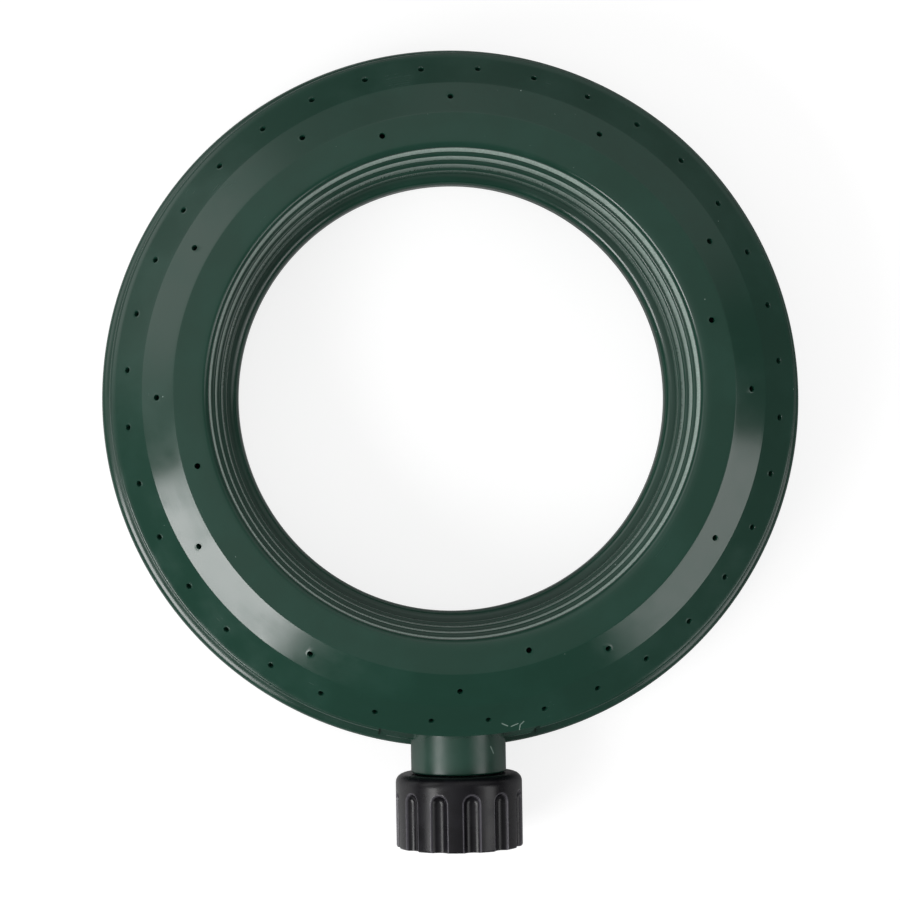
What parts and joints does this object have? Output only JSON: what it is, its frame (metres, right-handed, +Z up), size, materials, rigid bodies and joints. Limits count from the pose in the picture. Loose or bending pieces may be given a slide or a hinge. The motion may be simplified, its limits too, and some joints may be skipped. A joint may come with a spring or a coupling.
{
  "type": "ring sprinkler",
  "caption": "Stationary ring lawn sprinkler: a hollow faceted ring with circles of spray holes, fed through a side neck that carries a swivelling fluted hose nut.",
  "frame": {"origin": "on the ring's axis at ground level, in the plane of the base", "axes": "+Z up, the way the water sprays; the hose inlet points along -Y; +X to the right seen from above with the inlet towards the viewer"},
  "size_m": [0.2, 0.2273, 0.0434],
  "materials": {
    "shell_green": "semi-gloss moulded polypropylene",
    "nut_black": "satin moulded plastic",
    "washer_rubber": "matt rubber"
  },
  "bodies": {
    "ring": {"spray_shell": "shell_green", "base_shell": "shell_green", "inlet_neck": "shell_green"},
    "coupling": {"coupling_nut": "nut_black", "hose_washer": "washer_rubber"}
  },
  "joints": [
    {"name": "nut_swivel", "type": "hinge", "parent": "ring", "child": "coupling", "pos_m": [0, -0.1082, 0.0183], "axis": [0, -1, 0], "continuous": true}
  ]
}
